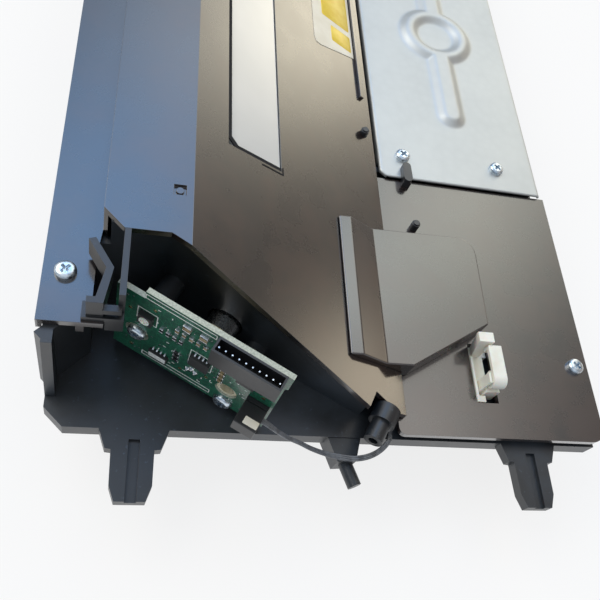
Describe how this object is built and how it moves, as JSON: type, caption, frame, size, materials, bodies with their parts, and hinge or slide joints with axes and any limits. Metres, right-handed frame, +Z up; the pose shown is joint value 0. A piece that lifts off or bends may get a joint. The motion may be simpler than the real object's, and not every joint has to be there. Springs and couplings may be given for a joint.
{
  "type": "laser scanning unit",
  "caption": "Laser scanning unit of a printer: a shallow black housing with a sloped cover, a long beam slit with dust glass, a laser driver board and a scanner motor under a metal cover.",
  "frame": {"origin": "middle of the overall footprint, at the level of the tub underside", "axes": "+X across the unit from the flange side to the metal-cover side, +Y along its length away from the driver board, +Z up out of the covers"},
  "size_m": [0.1824, 0.4142, 0.072],
  "materials": {
    "housing": "dusty matt black glass-filled moulding",
    "cover": "smooth black moulding",
    "sheet": "galvanised sheet",
    "clear": "clear glass or clear moulding",
    "foam": "closed foam strip",
    "nylon": "natural white nylon",
    "label": "blank white film label",
    "zinc": "bright zinc plating",
    "board": "green solder mask",
    "connector": "black moulding",
    "gold": "plated contact metal",
    "chip": "black moulded package",
    "ceramic": "ceramic and solder",
    "holder": "cream moulding",
    "alu": "turned aluminium",
    "bronze": "sintered bronze",
    "steel": "bright steel",
    "copper": "enamelled copper wire",
    "magnet": "bonded magnet",
    "mirror": "front-silvered mirror",
    "wire": "grey insulated wires"
  },
  "bodies": {
    "unit": {"base_plate": "housing", "optics_tub": "housing", "housing_walls": "housing", "bay_frame": "housing", "upper_cover": "cover", "deck_cover": "cover", "rear_deck_cover": "cover", "motor_cover": "sheet", "connector_hood": "cover", "dust_glass": "clear", "glass_seal": "foam", "motor_bay_seal": "foam", "harness_hook": "cover", "wire_saddle": "nylon", "cover_clip": "cover", "locating_pegs": "cover", "edge_rail": "cover", "blank_label": "label", "cover_screws": "zinc", "driver_board": "board", "board_screws": "zinc", "board_header": "connector", "header_pins": "gold", "sync_header": "connector", "sync_plug": "connector", "board_chips": "chip", "board_small_parts": "ceramic", "trimmer_body": "ceramic", "laser_holder": "holder", "laser_diode": "gold", "collimator_barrel": "alu", "collimator_lens": "clear", "cylinder_lens_mount": "housing", "cylinder_lens": "clear", "motor_board": "board", "motor_chip": "chip", "motor_connector": "nylon", "motor_bearing": "bronze", "motor_stator": "steel", "motor_coils": "copper", "motor_screws": "zinc", "scan_lens_front": "clear", "scan_lens_rear": "clear", "lens_clips": "steel", "fold_mirror": "mirror", "mirror_clips": "steel", "sync_mirror": "mirror", "sync_board": "board", "sync_sensor": "chip", "sync_lead": "wire"},
    "rotor": {"motor_shaft": "steel", "rotor_hub": "alu", "rotor_magnet": "magnet", "polygon_mirror": "mirror", "mirror_spring": "steel"},
    "trimmer": {"trimmer_rotor": "zinc"},
    "latch": {"saddle_latch": "nylon"}
  },
  "joints": [
    {"name": "polygon_spin", "type": "hinge", "parent": "unit", "child": "rotor", "pos_m": [0.05565, 0, 0.023], "axis": [0, 0, 1], "continuous": true},
    {"name": "trimmer_turn", "type": "hinge", "parent": "unit", "child": "trimmer", "pos_m": [-0.06386, -0.16527, 0.056], "axis": [-0.5, -0.866, 0], "range_deg": [-135, 135]},
    {"name": "saddle_latch_hinge", "type": "hinge", "parent": "unit", "child": "latch", "pos_m": [0.05055, -0.1683, 0.038], "axis": [1, 0, 0], "range_deg": [0, 90]}
  ]
}
